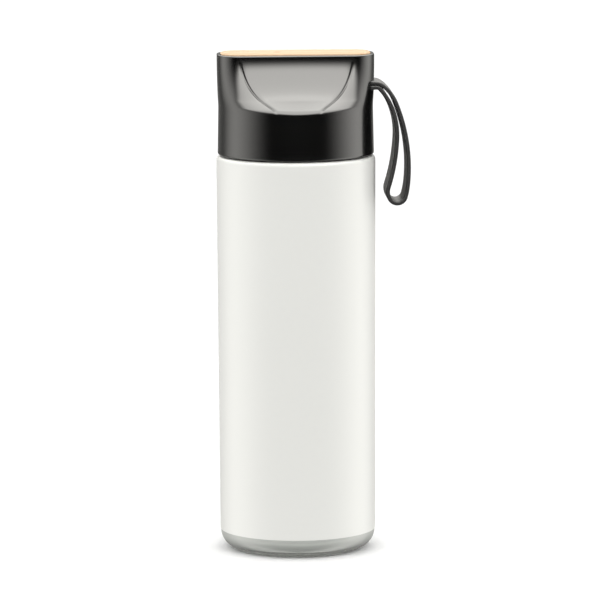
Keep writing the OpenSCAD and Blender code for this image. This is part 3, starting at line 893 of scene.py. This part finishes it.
surface = add(tree, "ShaderNodeBsdfPrincipled", base_color=colour, roughness=0.5, ior=1.45,
              specular_ior_level=0.06, normal=raised)
add(tree, "ShaderNodeOutputMaterial", surface=surface)
put_on(bamboo_material, bamboo)

# %% [markdown]
# ### Moulded silicone
#
# Silicone rubber is matt and soft: it has no sharp highlight, only a grey sheen towards its
# edges, and it holds a little dust. The black strap and the milky seal share this make-up.


# %% Silicone
TOOL_GRAIN = 0.6 * MM
DUST = 220                           # per metre: dust lies in patches of 4.5 mm
DUST_SPREAD = 0.06                   # how far it moves the roughness, either way


def silicone(name, hex_colour, roughness, see_through):
    """Moulded silicone with a fine tool texture and a sheen at grazing angles."""
    material, tree, place = new_material(name)
    grain = add(tree, "ShaderNodeTexNoise", vector=place, scale=1 / TOOL_GRAIN, detail=2)
    dust = add(tree, "ShaderNodeTexNoise", vector=place, scale=DUST, detail=3)
    matt = add(tree, "ShaderNodeMapRange", value=dust, to_min=roughness - DUST_SPREAD,
               to_max=roughness + DUST_SPREAD)
    grained = add(tree, "ShaderNodeBump", height=grain, strength=0.2, distance=0.06 * MM)
    surface = add(tree, "ShaderNodeBsdfPrincipled", base_color=linear(hex_colour), ior=1.41,
                  roughness=matt, transmission_weight=see_through, sheen_weight=0.06,
                  sheen_roughness=0.4, normal=grained)
    add(tree, "ShaderNodeOutputMaterial", surface=surface)
    return material


put_on(silicone("black_silicone_rubber", "161617", 0.46, 0.0), strap)
put_on(silicone("milky_silicone_rubber", "DADDDD", 0.45, 0.35), seal)

# %% [markdown]
# ### Uncoloured polypropylene, steel wire and adhesive
#
# The liner is polypropylene with no pigment, which is milky because light scatters inside it.
# The pin is drawn steel wire, with fine lines along it. The pad under the bamboo is a foam
# adhesive, full of small cells.

# %% Milky polypropylene
FLOW = 80                            # per metre: flow marks 12 mm apart
milky_material, tree, place = new_material("uncoloured_polypropylene")
flow = add(tree, "ShaderNodeTexNoise", vector=place, scale=FLOW, detail=2)
flowed = add(tree, "ShaderNodeBump", height=flow, strength=0.1, distance=0.1 * MM)
surface = add(tree, "ShaderNodeBsdfPrincipled", base_color=linear("E9EAE4"), roughness=0.34,
              ior=1.49, transmission_weight=0.15, subsurface_weight=0.35,
              subsurface_radius=(2 * MM, 2 * MM, 2 * MM), subsurface_scale=1.0,
              normal=flowed)
add(tree, "ShaderNodeOutputMaterial", surface=surface)
put_on(milky_material, liner, *posts)

# %% Steel wire
DRAWN = (9000, 120, 9000)            # per metre: lines 8 mm long and 0.1 mm wide, along Y
wire_material, tree, place = new_material("drawn_stainless_wire")
drawn = add(tree, "ShaderNodeMapping", vector=place, scale=DRAWN)
lines = add(tree, "ShaderNodeTexNoise", vector=drawn, scale=1, detail=2)
brushed = add(tree, "ShaderNodeMapRange", value=lines, to_min=0.22, to_max=0.38)
surface = add(tree, "ShaderNodeBsdfPrincipled", base_color=linear("C9CACC"), metallic=1.0,
              roughness=brushed)
add(tree, "ShaderNodeOutputMaterial", surface=surface)
put_on(wire_material, frame["nodes"]["strap_pin"])

# %% Foam adhesive
CELL = 0.6 * MM
foam_material, tree, place = new_material("foam_adhesive")
cells = add(tree, "ShaderNodeTexVoronoi", vector=place, scale=1 / CELL)
pitted = add(tree, "ShaderNodeBump", height=cells, strength=0.4, distance=0.1 * MM)
surface = add(tree, "ShaderNodeBsdfPrincipled", base_color=linear("D8D0B4"), roughness=0.7,
              normal=pitted)
add(tree, "ShaderNodeOutputMaterial", surface=surface)
put_on(foam_material, frame["nodes"]["bamboo_adhesive"])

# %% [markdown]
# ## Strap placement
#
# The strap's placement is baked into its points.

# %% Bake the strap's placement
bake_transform(strap)

# %% [markdown]
# ## Floor, light and camera
#
# The bottle stands on a white sweep. The sweep is kept out of mirrored and scattered rays, as
# black flags keep it out in a studio, so the black lid stays black and the white coat is lit
# by the tent alone.


# %% Floor
FLOOR_LEVEL = 4                      # metres from the bottle to where the sweep rises
FLOOR_HALF = 7                       # metres from the bottle to the floor's edge


def floor_height(y):
    """Level, then rising in front and behind: h = (|y| - d)^2 / (2 d) past d = FLOOR_LEVEL."""
    return np.clip(np.abs(y) - FLOOR_LEVEL, 0, None) ** 2 / (2 * FLOOR_LEVEL)


gx, gy = np.meshgrid(np.linspace(-FLOOR_HALF, FLOOR_HALF, 29),
                     np.linspace(-FLOOR_HALF, FLOOR_HALF, 57))
rows, columns = gx.shape
index = np.arange(rows * columns).reshape(rows, columns)
corners = [index[:-1, :-1], index[:-1, 1:], index[1:, 1:], index[1:, :-1]]
floor_mesh = bpy.data.meshes.new("floor")
floor_mesh.from_pydata(np.stack([gx, gy, floor_height(gy)], -1).reshape(-1, 3).tolist(), [],
                       np.stack(corners, -1).reshape(-1, 4).tolist())
floor_mesh.polygons.foreach_set("use_smooth", np.ones(len(floor_mesh.polygons), bool))
floor = bpy.data.objects.new("floor", floor_mesh)
bpy.context.scene.collection.objects.link(floor)
floor_material, tree = new_material("white_paper")[:2]
surface = add(tree, "ShaderNodeBsdfPrincipled", base_color=linear("FEFEFE"), roughness=1.0,
              specular_ior_level=0.0)
add(tree, "ShaderNodeOutputMaterial", surface=surface)
put_on(floor_material, floor)
floor.visible_glossy = False
floor.visible_diffuse = False

# %% [markdown]
# The light is a tent: white above, dark in front and faint behind, with a soft white wall at
# each side. Rays that are scattered see a nearly even white, a little brighter above, behind
# and at the sides, so the body is lit from all round. Rays that are mirrored see the tent, so
# the black lid shows light where it faces up or sideways and stays black where it faces the
# front. The camera itself sees plain white. The tent is a picture of brightness by direction,
# with soft edges.

# %% Tent of light
FILL = 0.76                          # brightness that lights the scattered part, at eye level
TOP_FILL = 1.2                       # the same straight above
ROOF = 11.0                          # brightness of the tent's roof
LEFT, RIGHT = 3.0, 3.4               # brightness of its side walls
DARK = 0.03                          # brightness of the dark front
BACK = 0.25                          # brightness of the back
ROOF_RISE = 0.18                     # the roof's edge rises by this from the middle to a side

world = bpy.data.worlds.new("light_tent")
bpy.context.scene.world = world
world.use_nodes = True
world.cycles.sampling_method = "NONE"
tree = world.node_tree
tree.nodes.clear()
direction = add(tree, "ShaderNodeTexCoord").node.outputs["Generated"]
axes = add(tree, "ShaderNodeSeparateXYZ", vector=direction).node.outputs
x, y, up = axes["X"], axes["Y"], axes["Z"]
sideways = add(tree, "ShaderNodeMath", x, operation="ABSOLUTE")
to_front = add(tree, "ShaderNodeMath", y, -1.0, operation="MULTIPLY")
azimuth = add(tree, "ShaderNodeMath", sideways, to_front, operation="ARCTAN2")
azimuth = add(tree, "ShaderNodeMath", azimuth, operation="DEGREES")

# %% Shape of the tent
# Each row gives a value, where its smooth change starts and ends, and what comes out before
# and after. The azimuth is 0 straight in front, 90 at either side and 180 straight behind.
lean = add(tree, "ShaderNodeMath", sideways, ROOF_RISE, operation="MULTIPLY")
raised = add(tree, "ShaderNodeMath", up, lean, operation="SUBTRACT")
changes = {
    "roof": (raised, 0.08, 0.46, 0.0, ROOF),
    "roof back": (y, 0.1, 0.95, 1.0, 0.24),
    "roof sides": (sideways, 0.4, 0.95, 1.0, 0.75),
    "wall start": (azimuth, 38, 95, 0.0, 1.0),
    "wall end": (azimuth, 98, 140, 1.0, 0.0),
    "left or right": (x, -0.1, 0.1, LEFT, RIGHT),
    "wall top": (up, 0.55, 0.15, 0.0, 1.0),
    "back": (azimuth, 110, 140, DARK, BACK),
    "fill up": (up, 0.15, 1.0, FILL, TOP_FILL),
    "fill sides": (sideways, 0.4, 1.0, 0.0, 0.22),
    "fill back": (y, 0.2, 1.0, 0.0, 0.2),
}
glow = {
    name: add(tree, "ShaderNodeMapRange", value=value, from_min=start, from_max=end,
              to_min=low, to_max=high, interpolation_type="SMOOTHSTEP")
    for name, (value, start, end, low, high) in changes.items()
}

# %% Light from the parts of the tent
roof = add(tree, "ShaderNodeMath", glow["roof"], glow["roof back"], operation="MULTIPLY")
roof = add(tree, "ShaderNodeMath", roof, glow["roof sides"], operation="MULTIPLY")
walls = add(tree, "ShaderNodeMath", glow["wall start"], glow["wall end"],
            operation="MULTIPLY")
walls = add(tree, "ShaderNodeMath", walls, glow["left or right"], operation="MULTIPLY")
walls = add(tree, "ShaderNodeMath", walls, glow["wall top"], operation="MULTIPLY")
tent = add(tree, "ShaderNodeMath", roof, walls, operation="MAXIMUM")
tent = add(tree, "ShaderNodeMath", tent, glow["back"], operation="ADD")
fill = add(tree, "ShaderNodeMath", glow["fill up"], glow["fill sides"], operation="ADD")
fill = add(tree, "ShaderNodeMath", fill, glow["fill back"], operation="ADD")
ray = add(tree, "ShaderNodeLightPath").node.outputs
strength = add(tree, "ShaderNodeMix", factor=ray["Is Glossy Ray"], a=fill, b=tent)
strength = add(tree, "ShaderNodeMix", factor=ray["Is Camera Ray"], a=strength, b=1.0)
hue = add(tree, "ShaderNodeMix", data_type="RGBA", factor=ray["Is Glossy Ray"],
          a=(1, 1, 1, 1), b=linear("FFFDF8"))
sky = add(tree, "ShaderNodeBackground", color=hue, strength=strength)
add(tree, "ShaderNodeOutputWorld", surface=sky)
print("tent of", len(changes), "smooth changes, roof", ROOF, "and fill", FILL)

# %% [markdown]
# A long lens two metres away keeps the bottle's sides nearly parallel. The camera stands above
# the lid and looks down by about eight degrees, so the flat top and the base show as ovals.

# %% Camera
CAMERA_AWAY = 2010.6 * MM
CAMERA_HIGH = 383.8 * MM
CAMERA_AZIMUTH = np.radians(-2.4)
CAMERA_DOWN = np.radians(7.82)
CAMERA_ROLL = np.radians(-0.305)
AXIS_LEFT = 1.4545 * MM              # how far left of the view's middle the bottle stands
camera_data = bpy.data.cameras.new("camera")
camera_data.lens, camera_data.sensor_width = 282, 36
camera_data.clip_end = 50
camera = bpy.data.objects.new("camera", camera_data)
forward = Vector((-np.sin(CAMERA_AZIMUTH), np.cos(CAMERA_AZIMUTH), 0))
camera.location = -forward * CAMERA_AWAY + Vector((0, 0, CAMERA_HIGH))
right = Vector((forward.y, -forward.x, 0))
looking = (forward + right * (AXIS_LEFT / CAMERA_AWAY)).normalized()
looking = looking * np.cos(CAMERA_DOWN) - Vector((0, 0, np.sin(CAMERA_DOWN)))
upright_turn = looking.to_track_quat("-Z", "Y")
camera.rotation_mode = "QUATERNION"
camera.rotation_quaternion = upright_turn @ Quaternion((0, 0, 1), CAMERA_ROLL)
bpy.context.scene.collection.objects.link(camera)
bpy.context.scene.camera = camera
bpy.context.scene.view_settings.view_transform = "Standard"
print("camera at", [round(v, 3) for v in camera.location])
